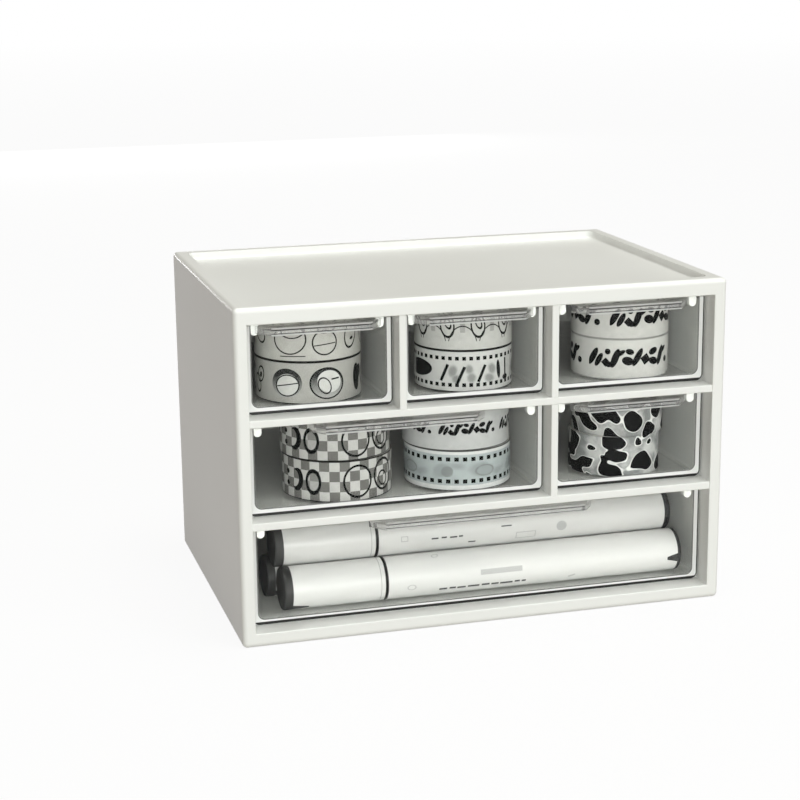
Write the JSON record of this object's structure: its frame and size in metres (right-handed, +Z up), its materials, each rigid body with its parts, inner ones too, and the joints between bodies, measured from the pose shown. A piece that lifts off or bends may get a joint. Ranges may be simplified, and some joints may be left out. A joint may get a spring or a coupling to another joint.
{
  "type": "washi tape drawer box",
  "caption": "Desk-top cabinet with a tray top and clear sliding drawers in uneven columns, holding stacked rolls of washi tape above a full-width drawer of markers.",
  "frame": {"origin": "middle of the footprint, on the surface that the box stands on", "axes": "+X to the right seen from the drawers' side, +Y towards the closed back, +Z up; the drawers open towards -Y"},
  "size_m": [0.18, 0.125, 0.1207],
  "materials": {
    "cabinet_white": "satin white",
    "drawer_clear": "clear polished",
    "washi_paper": "printed washi paper",
    "core_card": "white card",
    "marker_white": "satin white",
    "marker_black": "matte black"
  },
  "bodies": {
    "cabinet": {"cabinet_shell": "cabinet_white", "back_panel": "cabinet_white", "lower_shelf": "cabinet_white", "upper_shelf": "cabinet_white", "divider_top_left": "cabinet_white", "divider_top_right": "cabinet_white", "divider_middle": "cabinet_white", "stop_pegs_top": "cabinet_white", "stop_pegs_middle": "cabinet_white", "stop_pegs_bottom": "cabinet_white"},
    "top_left_drawer": {"drawer_top_left": "drawer_clear", "tape_top_left_lower": "washi_paper", "core_top_left_lower": "core_card", "tape_top_left_upper": "washi_paper", "core_top_left_upper": "core_card"},
    "top_middle_drawer": {"drawer_top_middle": "drawer_clear", "tape_top_middle_lower": "washi_paper", "core_top_middle_lower": "core_card", "tape_top_middle_upper": "washi_paper", "core_top_middle_upper": "core_card"},
    "top_right_drawer": {"drawer_top_right": "drawer_clear", "tape_top_right_lower": "washi_paper", "core_top_right_lower": "core_card", "tape_top_right_upper": "washi_paper", "core_top_right_upper": "core_card"},
    "middle_left_drawer": {"drawer_middle_left": "drawer_clear", "tape_middle_left_lower": "washi_paper", "core_middle_left_lower": "core_card", "tape_middle_left_upper": "washi_paper", "core_middle_left_upper": "core_card", "tape_middle_centre_lower": "washi_paper", "core_middle_centre_lower": "core_card", "tape_middle_centre_upper": "washi_paper", "core_middle_centre_upper": "core_card"},
    "middle_right_drawer": {"drawer_middle_right": "drawer_clear", "tape_middle_right_lower": "washi_paper", "core_middle_right_lower": "core_card", "tape_middle_right_upper": "washi_paper", "core_middle_right_upper": "core_card"},
    "bottom_drawer": {"drawer_bottom": "drawer_clear", "marker_front_cap": "marker_white", "marker_front_barrel": "marker_white", "marker_front_cap_plug": "marker_black", "marker_front_tail_plug": "marker_black", "marker_rear_cap": "marker_white", "marker_rear_barrel": "marker_white", "marker_rear_cap_plug": "marker_black", "marker_rear_tail_plug": "marker_black", "marker_upper_cap": "marker_white", "marker_upper_barrel": "marker_white", "marker_upper_cap_plug": "marker_black", "marker_upper_tail_plug": "marker_black"}
  },
  "joints": [
    {"name": "top_left_slide", "type": "slide", "parent": "cabinet", "child": "top_left_drawer", "axis": [0, -1, 0], "range_m": [0, 0.1065]},
    {"name": "top_middle_slide", "type": "slide", "parent": "cabinet", "child": "top_middle_drawer", "axis": [0, -1, 0], "range_m": [0, 0.1065]},
    {"name": "top_right_slide", "type": "slide", "parent": "cabinet", "child": "top_right_drawer", "axis": [0, -1, 0], "range_m": [0, 0.1065]},
    {"name": "middle_left_slide", "type": "slide", "parent": "cabinet", "child": "middle_left_drawer", "axis": [0, -1, 0], "range_m": [0, 0.1065]},
    {"name": "middle_right_slide", "type": "slide", "parent": "cabinet", "child": "middle_right_drawer", "axis": [0, -1, 0], "range_m": [0, 0.1065]},
    {"name": "bottom_slide", "type": "slide", "parent": "cabinet", "child": "bottom_drawer", "axis": [0, -1, 0], "range_m": [0, 0.1065]}
  ]
}
